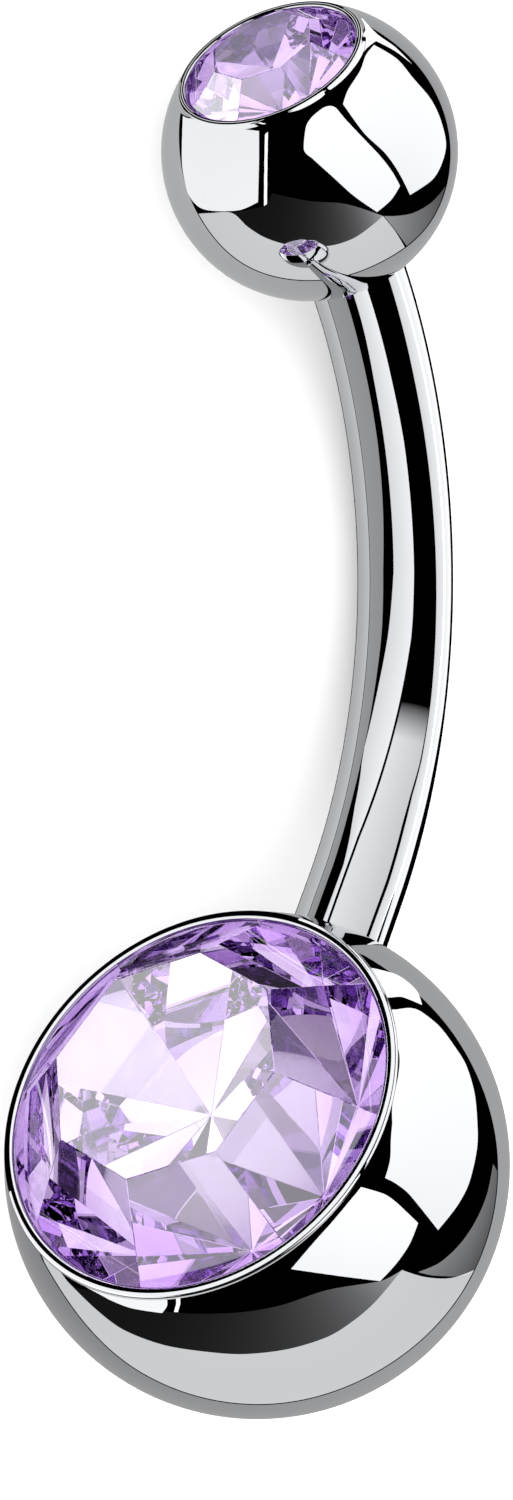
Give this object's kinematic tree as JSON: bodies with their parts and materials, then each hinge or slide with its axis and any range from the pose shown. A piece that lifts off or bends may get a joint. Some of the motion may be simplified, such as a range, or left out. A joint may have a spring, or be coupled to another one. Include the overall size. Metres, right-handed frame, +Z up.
{
  "type": "curved-bar navel ring",
  "caption": "Curved steel bar with a large and a small polished ball at its ends, each set with a round faceted stone. The small ball comes off the bar.",
  "frame": {"origin": "middle of the part's box, on the surface that it lies on", "axes": "+Z up; +Y from the large lower ball to the small top ball, both of which touch the surface; +X to the bulge of the bar"},
  "size_m": [0.008, 0.0224, 0.008],
  "materials": {
    "polished_steel": "mirror polish",
    "lilac_stone": "clear lilac, cut and polished"
  },
  "bodies": {
    "ring": {"curved_bar": "polished_steel", "lower_ball": "polished_steel", "lower_stone": "lilac_stone"},
    "screw_ball": {"top_ball": "polished_steel", "top_stone": "lilac_stone"}
  },
  "joints": [
    {"name": "top_ball_off", "type": "slide", "parent": "ring", "child": "screw_ball", "axis": [-0.5908, 0.7314, 0.3406], "range_m": [0, 0.005]}
  ]
}
